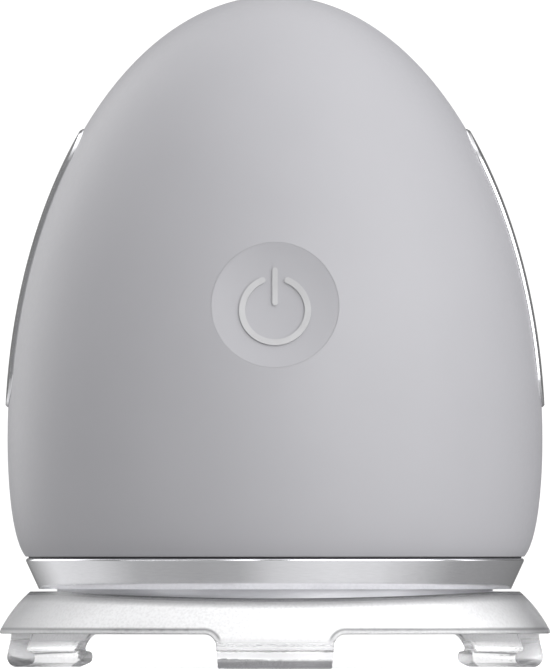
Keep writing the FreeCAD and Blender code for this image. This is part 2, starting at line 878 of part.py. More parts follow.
def make_switch():
    half = SWITCH_SIDE / 2
    body = rounded_plate(
        point(-half, -half, board_front), point(half, half, switch_top), SWITCH_CORNER
    )
    well_depth = PLUNGER_DEPTH + PLUNGER_PROUD
    well = cylinder(
        PLUNGER_RADIUS + PLUNGER_FIT,
        point(0, 0, switch_top - well_depth),
        UP,
        well_depth + OVERRUN,
    )
    return on_button(body.cut(well))


def make_board():
    plate = rounded_plate(
        point(-BOARD_HALF_WIDTH, -BOARD_BOTTOM, board_back),
        point(BOARD_HALF_WIDTH, BOARD_TOP, board_front),
        BOARD_CORNER,
    )
    deep = board_back - OVERRUN
    holes = [
        cylinder(SCREW_HOLE_RADIUS, point(u, v, deep), UP, BOARD_THICKNESS + 2 * OVERRUN)
        for u, v in board_posts()
    ]
    return on_button(plate.cut(holes))


def make_lamps():
    """Indicator lamps round the switch, lying along the icon's ring."""
    half = point(LAMP_LENGTH / 2, LAMP_WIDTH / 2, 0)
    foot = point(0, LAMP_SPREAD, board_front)
    lamp = box(foot - half, foot + half + point(0, 0, LAMP_HEIGHT))
    return [on_button(copy) for copy in turned_copies(lamp, LAMP_COUNT)]


def make_chips():
    """Controller and two coils on the back of the board."""
    half = CHIP_SIDE / 2
    chip = box(
        point(-half, -CHIP_DROP - half, board_back - CHIP_HEIGHT), point(half, half - CHIP_DROP, board_back)
    )
    side = COIL_SIDE / 2
    coils = [
        box(point(u - side, -side, board_back - COIL_HEIGHT), point(u + side, side, board_back))
        for u in (-COIL_SPACING, COIL_SPACING)
    ]
    return [on_button(piece) for piece in [chip] + coils]


def make_socket():
    """Lead socket on the back of the board, open upward."""
    half = SOCKET_WIDTH / 2
    low = SOCKET_RISE - SOCKET_HEIGHT
    deep = board_back - SOCKET_DEPTH
    body = box(point(-half, low, deep), point(half, SOCKET_RISE, board_back))
    well = box(
        point(SOCKET_WALL - half, low + SOCKET_WALL, deep + SOCKET_WALL),
        point(half - SOCKET_WALL, SOCKET_RISE + OVERRUN, board_back - SOCKET_WALL),
    )
    return on_button(body.cut(well))


# Screws


def screw(grip):
    """Pan screw pointing up, its head's seat at the origin."""
    head = cylinder(SCREW_HEAD_RADIUS, point(0, 0, -SCREW_HEAD), UP, SCREW_HEAD)
    shank = cylinder(SCREW_RADIUS, point(0, 0, 0), UP, grip + SCREW_BITE)
    drive = cylinder(SCREW_DRIVE_RADIUS, point(0, 0, -SCREW_HEAD), UP, SCREW_DRIVE_DEPTH)
    return head.fuse(shank).removeSplitter().cut(drive)


def make_board_screws():
    pieces = []
    for u, v in board_posts():
        piece = screw(BOARD_THICKNESS)
        piece.translate(point(u, v, board_back))
        pieces.append(on_button(piece))
    return pieces


def make_case_screws():
    pieces = []
    for x in (-BOSS_X, BOSS_X):
        for y in (-BOSS_Y, BOSS_Y):
            piece = screw(BASE_FLOOR)
            piece.translate(point(x, y, base_floor_z))
            pieces.append(piece)
    return pieces


# Base plate


cradle_axis = point(0, -MOTOR_SETBACK, base_top_z + MOTOR_RISE)
cell_low_z = base_top_z + SHELF_RISE
cell_back = MAST_FRONT - TAPE_THICKNESS
cell_front = cell_back - CELL_THICKNESS


def base_disc():
    flange = ring(base_radius, 0, collar_top_z, base_top_z)
    spigot = ring(PROBE_RADIUS, base_hollow, probe_rim_z, collar_top_z)
    hollow = ring(base_hollow, 0, probe_rim_z - OVERRUN, base_floor_z)
    return flange.fuse(spigot).cut(hollow)


def mast():
    """Upright plate behind the battery, with the shelf that the battery stands on."""
    back = MAST_FRONT + MAST_THICKNESS
    plate = box(
        point(-MAST_HALF_WIDTH, MAST_FRONT, base_top_z),
        point(MAST_HALF_WIDTH, back, base_top_z + MAST_HEIGHT),
    )
    top = base_top_z + MAST_HEIGHT
    corners = [
        e
        for e in plate.Edges
        if abs(e.tangentAt(e.FirstParameter).y) > 0.5 and e.CenterOfMass.z > top - OVERRUN
    ]
    plate = plate.makeFillet(MAST_CORNER, corners)
    front = cell_front - SHELF_FRONT_LIP
    shelf = box(
        point(-CELL_WIDTH / 2, front, cell_low_z - SHELF_THICKNESS),
        point(CELL_WIDTH / 2, MAST_FRONT, cell_low_z),
    )
    lip = box(
        point(-CELL_WIDTH / 2, front, cell_low_z),
        point(CELL_WIDTH / 2, cell_front, cell_low_z + SHELF_FRONT_LIP),
    )
    return [plate, shelf, lip]


def motor_cradle():
    """Block with a round trough for the motor's sleeve."""
    trough = MOTOR_RADIUS + SLEEVE_WALL + CRADLE_FIT
    half = trough + CRADLE_WALL
    x = motor_sleeve_middle() - CRADLE_LENGTH / 2
    block = box(
        point(x, cradle_axis.y - half, base_top_z),
        point(x + CRADLE_LENGTH, cradle_axis.y + half, cradle_axis.z),
    )
    return block.cut(motor_cylinder(trough, x - OVERRUN, x + CRADLE_LENGTH + OVERRUN))


def charge_posts():
    """Four posts under the charging board."""
    x = CHARGE_BOARD_WIDTH / 2 - CHARGE_POST_INSET
    near = charge_board_front() + CHARGE_POST_INSET
    far = charge_board_front() + CHARGE_BOARD_LENGTH - CHARGE_POST_INSET
    height = PORT_RISE - CHARGE_BOARD_THICKNESS
    return [
        cylinder(CHARGE_POST_RADIUS, point(side * x, y, base_top_z), UP, height)
        for side in (-1, 1)
        for y in (near, far)
    ]


def hook_slots():
    width = HOOK_WIDTH / 2 + HOOK_SLOT_FIT
    slot = box(
        point(-width, -HOOK_RADIUS - HOOK_BARB - HOOK_SLOT_FIT, base_floor_z - OVERRUN),
        point(width, HOOK_THICKNESS + HOOK_SLOT_FIT - HOOK_RADIUS, base_top_z + OVERRUN),
    )
    return turned_copies(slot, HOOK_COUNT, 180.0 / HOOK_COUNT)


def floor_hole(radius, x, y):
    """Round hole through the base plate's floor."""
    return cylinder(radius, point(x, y, base_floor_z - OVERRUN), UP, BASE_FLOOR + 2 * OVERRUN)


def make_base():
    body = fused([base_disc(), motor_cradle()] + mast() + charge_posts())
    cuts = hook_slots() + [floor_hole(PIN_RADIUS + PIN_FIT, PIN_OFFSET, 0)]
    for x in (-BOSS_X, BOSS_X):
        for y in (-BOSS_Y, BOSS_Y):
            cuts.append(floor_hole(SCREW_HOLE_RADIUS, x, y))
    return body.cut(cuts)


# Battery


def make_cell():
    block = box(
        point(-CELL_WIDTH / 2, cell_front, cell_low_z),
        point(CELL_WIDTH / 2, cell_back, cell_low_z + CELL_HEIGHT),
    )
    upright = [e for e in block.Edges if abs(e.tangentAt(e.FirstParameter).z) > 0.5]
    return block.makeFillet(CELL_ROUND, upright)


def make_tape():
    half = CELL_WIDTH / 2 - TAPE_MARGIN
    return box(
        point(-half, cell_back, cell_low_z + TAPE_MARGIN),
        point(half, MAST_FRONT, cell_low_z + CELL_HEIGHT - TAPE_MARGIN),
    )


# Vibration motor


motor_face_x = MOTOR_END


def motor_sleeve_middle():
    return motor_face_x - MOTOR_LENGTH / 2


def motor_cylinder(radius, start, end):
    return cylinder(radius, point(start, cradle_axis.y, cradle_axis.z), ACROSS, end - start)


def make_motor_can():
    can = motor_cylinder(MOTOR_RADIUS, motor_face_x - MOTOR_LENGTH, motor_face_x)
    bore_end = motor_face_x - SHAFT_DEPTH - SHAFT_FIT
    return can.cut(motor_cylinder(SHAFT_RADIUS + SHAFT_FIT, bore_end, motor_face_x + OVERRUN))


def make_motor_sleeve():
    middle = motor_sleeve_middle()
    low, high = middle - SLEEVE_LENGTH / 2, middle + SLEEVE_LENGTH / 2
    outer = motor_cylinder(MOTOR_RADIUS + SLEEVE_WALL, low, high)
    return outer.cut(motor_cylinder(MOTOR_RADIUS + SLEEVE_FIT, low - OVERRUN, high + OVERRUN))


def make_shaft():
    start = motor_face_x - SHAFT_DEPTH
    return motor_cylinder(SHAFT_RADIUS, start, start + SHAFT_LENGTH)


def make_weight():
    """Half-round weight hung under the shaft."""
    start = motor_face_x + WEIGHT_GAP
    whole = motor_cylinder(WEIGHT_RADIUS, start, start + WEIGHT_LENGTH)
    hub = motor_cylinder(HUB_RADIUS, start, start + WEIGHT_LENGTH)
    reach = WEIGHT_RADIUS + OVERRUN
    above = box(
        point(start - OVERRUN, cradle_axis.y - reach, cradle_axis.z),
        point(start + WEIGHT_LENGTH + OVERRUN, cradle_axis.y + reach, cradle_axis.z + reach),
    )
    half = whole.cut(above)
    bore = motor_cylinder(SHAFT_RADIUS, start - OVERRUN, start + WEIGHT_LENGTH + OVERRUN)
    return fused([half, hub]).cut(bore)


# Inside the probe


carrier_z = probe_face_z + PROBE_WALL + PROBE_DOME + PROBE_EDGE


def make_carrier():
    """Plastic ring bonded into the probe, its hooks snapped through the base plate."""
    low_z = carrier_z + CARRIER_LIFT
    body = ring(carrier_radius, carrier_radius - CARRIER_WIDTH, low_z, probe_rim_z)
    half = HOOK_WIDTH / 2
    catch_z = base_top_z
    top_z = catch_z + HOOK_BARB_HEIGHT
    inner = HOOK_THICKNESS - HOOK_RADIUS
    foot = box(point(-half, CARRIER_WIDTH / 2 - carrier_radius, low_z), point(half, inner, probe_rim_z))
    corners = [
        point(-half, inner, low_z),
        point(-half, -HOOK_RADIUS, low_z),
        point(-half, -HOOK_RADIUS, catch_z),
        point(-half, -HOOK_RADIUS - HOOK_BARB - 2 * HOOK_SLOT_FIT, catch_z),
        point(-half, -HOOK_RADIUS, top_z),
        point(-half, inner, top_z),
    ]
    hook = Part.Face(Part.makePolygon(corners + corners[:1])).extrude(point(HOOK_WIDTH, 0, 0))
    return fused([body] + turned_copies(hook.fuse(foot), HOOK_COUNT, 180.0 / HOOK_COUNT))


def probe_floor(radius):
    """Height of the probe's inner floor at a distance from the axis."""
    flat = PROBE_RADIUS - PROBE_WALL - PROBE_EDGE + PROBE_WALL / 2
    sphere = (flat**2 + PROBE_DOME**2) / (2 * PROBE_DOME)
    return probe_face_z + PROBE_WALL + sphere - math.sqrt(sphere**2 - radius**2)


def make_heater():
    """Film disc bonded to the probe's floor, curved as the floor is."""
    places = (0, HEATER_RADIUS / 2, HEATER_RADIUS)
    low = [profile_point(r, probe_floor(r)) for r in places]
    high = [profile_point(r, probe_floor(r) + HEATER_THICKNESS) for r in places]
    return turned([arc(*low), line(low[2], high[2]), arc(*high), line(high[0], low[0])])


def make_sensor():
    z = probe_floor(SENSOR_LENGTH) + HEATER_THICKNESS
    return box(
        point(-SENSOR_LENGTH / 2, -SENSOR_WIDTH / 2, z),
        point(SENSOR_LENGTH / 2, SENSOR_WIDTH / 2, z + SENSOR_HEIGHT),
    )


def make_contact_pin():
    """Pin from the base plate to the probe's floor, with a stop collar."""
    low = probe_floor(PIN_OFFSET + PIN_RADIUS)
    body = cylinder(PIN_RADIUS, point(PIN_OFFSET, 0, low), UP, base_top_z + PIN_TAIL - low)
    stop = cylinder(PIN_COLLAR_RADIUS, point(PIN_OFFSET, 0, base_floor_z - PIN_COLLAR), UP, PIN_COLLAR)
    return fused([body, stop])


# Charging port


port_z = base_top_z + PORT_RISE + PORT_HEIGHT / 2


def port_mouth():
    """How far back the mouth of the port lies, just inside the shell."""
    outer = flank_radius(port_z)
    return math.sqrt(outer**2 - (PORT_WIDTH / 2) ** 2) - PORT_RECESS


def charge_board_front():
    return port_mouth() - CHARGE_BOARD_SETBACK - CHARGE_BOARD_LENGTH


def stadium(width, height, start, end):
    """Bar with round sides along Y, centred on the port."""
    half = (width - height) / 2
    core = box(point(-half, start, port_z - height / 2), point(half, end, port_z + height / 2))
    sides = [
        cylinder(height / 2, point(x, start, port_z), point(0, 1, 0), end - start)
        for x in (-half, half)
    ]
    return fused([core] + sides)


def port_slot():
    reach = egg_radius + OVERRUN
    return stadium(PORT_WIDTH + 2 * PORT_GAP, PORT_HEIGHT + 2 * PORT_GAP, port_mouth() - PORT_LENGTH, reach)


def make_port_shell():
    mouth = port_mouth()
    back = mouth - PORT_LENGTH
    outer = stadium(PORT_WIDTH, PORT_HEIGHT, back, mouth)
    width, height = PORT_WIDTH - 2 * PORT_WALL, PORT_HEIGHT - 2 * PORT_WALL
    return outer.cut(stadium(width, height, back - OVERRUN, mouth + OVERRUN))


def make_port_tongue():
    back = port_mouth() - PORT_LENGTH
    block = stadium(PORT_WIDTH - 2 * PORT_WALL, PORT_HEIGHT - 2 * PORT_WALL, back, back + PORT_BLOCK)
    half = TONGUE_THICKNESS / 2
    start = back + PORT_BLOCK
    tongue = box(
        point(-TONGUE_WIDTH / 2, start, port_z - half),
        point(TONGUE_WIDTH / 2, start + TONGUE_LENGTH, port_z + half),
    )
    return fused([block, tongue])


def make_charge_board():
    front = charge_board_front()
    low = base_top_z + PORT_RISE - CHARGE_BOARD_THICKNESS
    half = CHARGE_BOARD_WIDTH / 2
    back = front + CHARGE_BOARD_LENGTH
    return box(point(-half, front, low), point(half, back, low + CHARGE_BOARD_THICKNESS))


# Leaf springs


def make_right_leaf():
    """Strip fixed behind the mast, its end turned forward to press on a plate's post."""
    back = MAST_FRONT + MAST_THICKNESS
    start = MAST_HALF_WIDTH - LEAF_LAP
    tip = post_tip()
    outer = LEAF_BEND + LEAF_THICKNESS
    low = post_z - LEAF_WIDTH / 2
    bend = point(tip - outer, back - LEAF_BEND, low)
    end_y = -POST_OFFSET - POST_RADIUS - LEAF_TIP

    def on_bend(radius):
        middle = radius * math.sqrt(0.5)
        return bend + point(0, radius, 0), bend + point(middle, middle, 0), bend + point(radius, 0, 0)

    outer_arc, inner_arc = on_bend(outer), on_bend(LEAF_BEND)
    outer_end, inner_end = point(tip, end_y, low), point(tip - LEAF_THICKNESS, end_y, low)
    outer_start, inner_start = point(start, back + LEAF_THICKNESS, low), point(start, back, low)
    edges = [
        line(outer_start, outer_arc[0]),
        arc(*outer_arc),
        line(outer_arc[2], outer_end),
        line(outer_end, inner_end),
        line(inner_end, inner_arc[2]),
        arc(*inner_arc),
        line(inner_arc[0], inner_start),
        line(inner_start, outer_start),
    ]
    return face_of(edges).extrude(point(0, 0, LEAF_WIDTH))


# All the pieces


def all_pieces():
    icon = make_icon()
    right_plate, right_leaf = make_right_plate(), make_right_leaf()
    return {
        "pad_ring": [make_pad_ring()],
        "probe_head": [make_probe()],
        "chrome_collar": [make_collar()],
        "base_seal": [make_seal()],
        "front_shell": [make_front_shell()],
        "rear_shell": [make_rear_shell()],
        "right_contact_plate": [right_plate],
        "left_contact_plate": [mirrored(right_plate)],
        "contact_leaf_springs": [right_leaf, mirrored(right_leaf)],
        "button_cap": [make_cap(icon)],
        "power_icon": icon,
        "switch_plunger": [make_plunger()],
        "switch_body": [make_switch()],
        "main_board": [make_board()],
        "indicator_lamps": make_lamps(),
        "board_chips": make_chips(),
        "lead_socket": [make_socket()],
        "board_screws": make_board_screws(),
        "case_screws": make_case_screws(),
        "base_plate": [make_base()],
        "battery_cell": [make_cell()],
        "battery_tape": [make_tape()],
        "motor_can": [make_motor_can()],
        "motor_sleeve": [make_motor_sleeve()],
        "motor_shaft": [make_shaft()],
        "eccentric_weight": [make_weight()],
        "probe_carrier": [make_carrier()],
        "heater_film": [make_heater()],
        "heat_sensor": [make_sensor()],
        "probe_contact_pin": [make_contact_pin()],
        "port_shell": [make_port_shell()],
        "port_tongue": [make_port_tongue()],
        "charge_board": [make_charge_board()],
    }


def main():
    os.makedirs("parts", exist_ok=True)
    for node, solids in all_pieces().items():
        shape = solids[0] if len(solids) == 1 else Part.makeCompound(solids)
        shape.exportStep(f"parts/{node}.step")
        print(f"{node}: {len(shape.Solids)} solids, {shape.Volume:.1f} mm3, valid {shape.isValid()}")


main()
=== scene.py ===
import json
import math

import bpy
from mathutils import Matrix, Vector
from mathutils.bvhtree import BVHTree


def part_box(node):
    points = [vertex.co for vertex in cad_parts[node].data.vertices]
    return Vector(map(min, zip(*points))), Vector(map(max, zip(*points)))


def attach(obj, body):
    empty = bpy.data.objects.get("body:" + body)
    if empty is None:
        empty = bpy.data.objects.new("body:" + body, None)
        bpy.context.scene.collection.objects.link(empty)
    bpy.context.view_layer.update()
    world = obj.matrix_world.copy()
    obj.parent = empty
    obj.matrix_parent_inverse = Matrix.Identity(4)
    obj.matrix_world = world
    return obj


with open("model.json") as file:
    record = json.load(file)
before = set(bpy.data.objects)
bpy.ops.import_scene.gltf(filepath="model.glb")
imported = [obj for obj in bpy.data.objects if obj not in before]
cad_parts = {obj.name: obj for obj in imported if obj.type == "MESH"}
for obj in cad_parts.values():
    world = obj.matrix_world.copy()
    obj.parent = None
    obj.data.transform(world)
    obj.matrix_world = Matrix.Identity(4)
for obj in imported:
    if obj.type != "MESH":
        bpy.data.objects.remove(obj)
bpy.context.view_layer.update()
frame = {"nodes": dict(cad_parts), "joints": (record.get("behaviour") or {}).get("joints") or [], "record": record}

# Egg-shaped facial massager on its clear pad ring: finishes, small fittings, light and camera.
# Metres, +Z up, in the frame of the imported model. The button faces -Y.

MM = 0.001
MICRON = 0.000001

# The picture's frame: its height in pixels, its scale, and the row where the object stands
IMAGE_HEIGHT = 669
MM_PER_PIXEL = 0.12445
FLOOR_ROW = 667.5

# Camera: far away, so that lines stay parallel, and low, at about the collar's height. It sees well past
# the floor.
CAMERA_DISTANCE = 3.0
CAMERA_HEIGHT = 0.015
CAMERA_SENSOR = 36.0
CAMERA_CLIP = 13.6

# Studio: a white floor with some glow of its own, in a round of soft walls over a dimmer ground, with a
# low light at the left and a ceiling. Each stop gives degrees from the camera towards the right, and how
# bright it is there as a share of the level. A climb is the upward part of a direction.
FLOOR_SIZE = 1.6
FLOOR_GLOW = 0.7
FLOOR_LOOK = dict(
    dark=(0.86, 0.86, 0.86), light=(0.88, 0.88, 0.88), rough=(0.6, 0.7), grain=400, depth=10, patches=2,
)
BACKDROP_LEVEL = 1.1
BACKDROP_START = math.radians(130)
BACKDROP_END = math.radians(150)
WALL_LEVEL = 2.95
WALL_SHARES = (
    (-180, 0.06), (-160, 0.06), (-148, 0.78), (-125, 0.74), (-105, 0.36), (-95, 0.13), (-85, 0.075),
    (-65, 0.065), (-45, 0.04), (-28, 0.05), (-13, 0.75), (-6, 0.10), (6, 0.10), (12, 1.00), (30, 1.00),
    (60, 0.96), (80, 0.92), (86, 0.10), (94, 0.10), (101, 0.60), (118, 0.12), (135, 0.06), (180, 0.06),
)
GROUND_LEVEL = 0.80
GROUND_SHARES = (
    (-180, 0.22), (-155, 0.50), (-134, 0.94), (-105, 0.80), (-80, 0.50), (-45, 0.45), (-21, 0.50),
    (0, 0.78), (34, 0.93), (60, 0.88), (81, 0.68), (106, 0.40), (136, 0.33), (180, 0.22),
)
GROUND_START = 0.0
GROUND_END = -0.12
LOW_LIGHT_LEVEL = 2.6
LOW_LIGHT_SHARES = ((-180, 0.0), (-78, 0.0), (-70, 1.0), (-45, 1.0), (-22, 0.0), (180, 0.0))
LOW_LIGHT_CLIMB = -0.02
LOW_LIGHT_CORE = 0.04
LOW_LIGHT_HALF = 0.08
CEILING_LEVEL = 1.25
CEILING_START = 0.45
CEILING_END = 0.90

# Noise: the span that most of its values lie in, and how fine it is. Here and below, grains and patches
# are counted to the metre, and depths of grain are in microns.
NOISE_LOW = 0.3
NOISE_HIGH = 0.7
DRIFT_PATCHES = 60
DRIFT_DETAIL = 3.0
GRAIN_DETAIL = 4.0
GRAINS_PER_GLOSS = 6

# Plating: its brightness, its cool tinge, its polishing marks and its smudges
PLATING_LEVEL = 0.95
PLATING_COOL = 0.03
MARK_SHADE = 0.02
MARK_LOW = 0.35
MARK_HIGH = 0.65
MARK_GRAIN = 900
MARK_DETAIL = 5.0
MARK_STRETCH = (1.0, 1.0, 12.0)
MARK_DEPTH = 1.2
SMUDGE_PATCHES = 160

# Pad ring: where its claws, hem, rim and outer wall lie
CLAW_COUNT = 3
CLAW_HALF_WIDTH = 7.3 * MM
CLAW_FILLET = 1.4 * MM
HEM_Z = 4.23 * MM
RIM_Z = 9.46 * MM
RIM_DIP = 0.8 * MM
RIM_DIP_HALF_WIDTH = 27.0 * MM
WALL_CENTRE_RADIUS = 20.4 * MM
WALL_CENTRE_Z = -2.17 * MM
WALL_CURVE = 15.38 * MM
WALL_NEAR = 0.08 * MM
WALL_FAR = 0.20 * MM

# Pad ring: its frosted skirt, the painted shade on it (a grey band below the rim, a grey line along the hem and
# grey claw ends), and how clear it is
FROST_START = 2.9 * MM
FROST_END = 3.9 * MM
HEM_FROST = 0.5
HEM_MARGIN = 0.7 * MM
# The hem line is painted shade: a grey line along the hem's rounded edge
HEM_LINE = 0.6 * MM
HEM_LINE_HALF = 0.30 * MM
HEM_PAINTED_SHADE_SHARE = 0.9
RIM_MARGIN = 1.3 * MM
LAND_START = 0.75
LAND_END = 0.95
LAND_SHARE = 0.75
# The claw ends get painted shade, a grey where the clear claws are seen edge on
CLAW_END_DEPTH = 0.3 * MM
CLAW_END_PAINTED_SHADE_SHARE = 0.8
# Painted shade: the grey that stands in for the darker look of the polished clear plastic below the rim, along the
# hem and at the claw ends
PAINTED_SHADE_GREY = (0.20, 0.20, 0.21, 1.0)
RING_GRAIN = 2900
RING_GRAIN_DETAIL = 5.0
RING_GRAIN_DEPTH = 16
RING_SHADE = (0.36, (0.88, 0.88, 0.89))
RING_WHITE = (0.58, (0.98, 0.98, 0.99))
POLISHED_ROUGH = 0.16
FROSTED_ROUGH = 0.50
POLISHED_CLEAR = 0.96
FACE_ON_CLEAR = 0.08
EDGE_ON_CLEAR = 0.92
EDGE_ON_START = 0.36
EDGE_ON_END = 0.76
PLASTIC_IOR = 1.49

# Sockets of a Mix node that mixes colours
MIX_SHARE = 0
MIX_FIRST = 6
MIX_SECOND = 7
MIX_RESULT = 2

WHITE = (1.0, 1.0, 1.0, 1.0)


# Node helpers


def new_material(name):
    """An empty material with one Principled shader, ready for its nodes."""
    made = bpy.data.materials.new(name)
    made.use_nodes = True
    tree = made.node_tree
    tree.nodes.clear()
    output = tree.nodes.new("ShaderNodeOutputMaterial")
    shader = tree.nodes.new("ShaderNodeBsdfPrincipled")
    tree.links.new(shader.outputs["BSDF"], output.inputs["Surface"])
    return made, tree, shader


def set_sockets(shader, sockets):
    """Sets a shader's sockets to plain values, by their names."""
    for name, value in sockets.items():
        shader.inputs[name].default_value = value


def object_place(tree):
    """Where a point lies on its own piece, in metres."""
    return tree.nodes.new("ShaderNodeTexCoord").outputs["Object"]


def axes(tree, vector):
    """The three parts of a place or direction."""
    node = tree.nodes.new("ShaderNodeSeparateXYZ")
    tree.links.new(vector, node.inputs["Vector"])
    return [node.outputs[axis] for axis in "XYZ"]


def noise(tree, scale, detail=GRAIN_DETAIL, stretch=(1.0, 1.0, 1.0)):
    """Grey noise over the piece, with a number of grains to the metre."""
    mapping = tree.nodes.new("ShaderNodeMapping")
    mapping.inputs["Scale"].default_value = stretch
    tree.links.new(object_place(tree), mapping.inputs["Vector"])
    texture = tree.nodes.new("ShaderNodeTexNoise")
    texture.inputs["Scale"].default_value = scale
    texture.inputs["Detail"].default_value = detail
    tree.links.new(mapping.outputs["Vector"], texture.inputs["Vector"])
    return texture.outputs["Fac"]


def ramp(tree, value, stops):
    """Colours along a value, from (position, colour) stops."""
    node = tree.nodes.new("ShaderNodeValToRGB")
    elements = node.color_ramp.elements
    while len(elements) < len(stops):
        elements.new(0.5)
    for element, (position, colour) in zip(elements, stops):
        element.position = position
        element.color = (*colour, 1.0)
    tree.links.new(value, node.inputs["Fac"])
    return node.outputs["Color"]


def spread(tree, value, low, high, start=NOISE_LOW, end=NOISE_HIGH):
    """A value spread from start..end to low..high, and held there beyond."""
    node = tree.nodes.new("ShaderNodeMapRange")
    node.inputs["From Min"].default_value = start
    node.inputs["From Max"].default_value = end
    node.inputs["To Min"].default_value = low
    node.inputs["To Max"].default_value = high
    tree.links.new(value, node.inputs["Value"])
    return node.outputs["Result"]


def math_node(tree, operation, *values):
    """One step of arithmetic on links and plain numbers."""
    node = tree.nodes.new("ShaderNodeMath")
    node.operation = operation
    for socket, value in zip(node.inputs, values):
        if isinstance(value, (int, float)):
            socket.default_value = value
        else:
            tree.links.new(value, socket)
    return node.outputs["Value"]


def vector_node(tree, operation, *values):
    """One step of arithmetic on directions."""
    node = tree.nodes.new("ShaderNodeVectorMath")
    node.operation = operation
    sockets = [socket for socket in node.inputs if socket.enabled]
    for socket, value in zip(sockets, values):
        tree.links.new(value, socket)
    return next(socket for socket in node.outputs if socket.enabled)


def blend(tree, share, start, end):
    """From start to end as the share goes from 0 to 1."""
    return math_node(tree, "MULTIPLY_ADD", share, math_node(tree, "SUBTRACT", end, start), start)


def square(tree, value):
    """A value times itself."""
    return math_node(tree, "MULTIPLY", value, value)


def length(tree, across, along):
    """The long side of a right triangle."""
    return math_node(tree, "SQRT", math_node(tree, "ADD", square(tree, across), square(tree, along)))


def past(tree, value, start):
    """How far a value has gone past a start, or none."""
    return math_node(tree, "MAXIMUM", math_node(tree, "SUBTRACT", value, start), 0.0)


def apart(tree, value, other):
    """How far two values lie apart, either way."""
    return math_node(tree, "ABSOLUTE", math_node(tree, "SUBTRACT", value, other))


def bump(tree, shader, height, depth, slant=None):
    """Raises the surface by a height map, depth in microns, from its own slant or a given one."""
    node = tree.nodes.new("ShaderNodeBump")
    node.inputs["Strength"].default_value = 1.0
    node.inputs["Distance"].default_value = depth * MICRON
    tree.links.new(height, node.inputs["Height"])
    if slant is not None:
        tree.links.new(slant, node.inputs["Normal"])
    tree.links.new(node.outputs["Normal"], shader.inputs["Normal"])


# Finishes


def moulded(name, dark, light, rough, grain, depth, patches=DRIFT_PATCHES, **sockets):
    """A finish with a slow drift from dark to light, uneven gloss and a fine grain."""
    made, tree, shader = new_material(name)
    drift = noise(tree, patches, DRIFT_DETAIL)
    colour = ramp(tree, drift, [(NOISE_LOW, dark), (NOISE_HIGH, light)])
    tree.links.new(colour, shader.inputs["Base Color"])
    gloss = noise(tree, grain / GRAINS_PER_GLOSS)
    tree.links.new(spread(tree, gloss, *rough), shader.inputs["Roughness"])
    bump(tree, shader, noise(tree, grain), depth)
    set_sockets(shader, {key.replace("_", " "): value for key, value in sockets.items()})
    return made


def plated(name, rough, level=PLATING_LEVEL, metallic=1.0):
    """Bright plating with faint polishing marks that run round the piece."""
    made, tree, shader = new_material(name)
    marks = noise(tree, MARK_GRAIN, MARK_DETAIL, MARK_STRETCH)
    dark, light = level - MARK_SHADE, level + MARK_SHADE
    colour = ramp(tree, marks, [
        (MARK_LOW, (dark, dark, dark + PLATING_COOL)),
        (MARK_HIGH, (light, light, light + PLATING_COOL)),
    ])
    tree.links.new(colour, shader.inputs["Base Color"])
    smudge = noise(tree, SMUDGE_PATCHES, DRIFT_DETAIL)
    tree.links.new(spread(tree, smudge, *rough), shader.inputs["Roughness"])
    bump(tree, shader, marks, MARK_DEPTH)
    set_sockets(shader, {"Metallic": metallic})
    return made


def ring_wall(tree):
    """The slant of the ring's outer wall, true along its hem too, and the mesh's own elsewhere."""
    x, y, z = axes(tree, object_place(tree))
    from_centre = math_node(tree, "DIVIDE", WALL_CENTRE_RADIUS, length(tree, x, y))
    share = math_node(tree, "SUBTRACT", 1.0, from_centre)
    outward = tree.nodes.new("ShaderNodeCombineXYZ")
    tree.links.new(math_node(tree, "MULTIPLY", x, share), outward.inputs["X"])
    tree.links.new(math_node(tree, "MULTIPLY", y, share), outward.inputs["Y"])
    tree.links.new(math_node(tree, "SUBTRACT", z, WALL_CENTRE_Z), outward.inputs["Z"])
    true = vector_node(tree, "NORMALIZE", outward.outputs["Vector"])
    given = tree.nodes.new("ShaderNodeNewGeometry").outputs["Normal"]
    alike = math_node(tree, "GREATER_THAN", vector_node(tree, "DOT_PRODUCT", true, given), 0.0)
    off_wall = apart(tree, vector_node(tree, "LENGTH", outward.outputs["Vector"]), WALL_CURVE)
    near = math_node(tree, "MULTIPLY", spread(tree, off_wall, 1.0, 0.0, WALL_NEAR, WALL_FAR), alike)
    step = vector_node(tree, "SCALE", vector_node(tree, "SUBTRACT", true, given), near)
    return vector_node(tree, "NORMALIZE", vector_node(tree, "ADD", given, step))


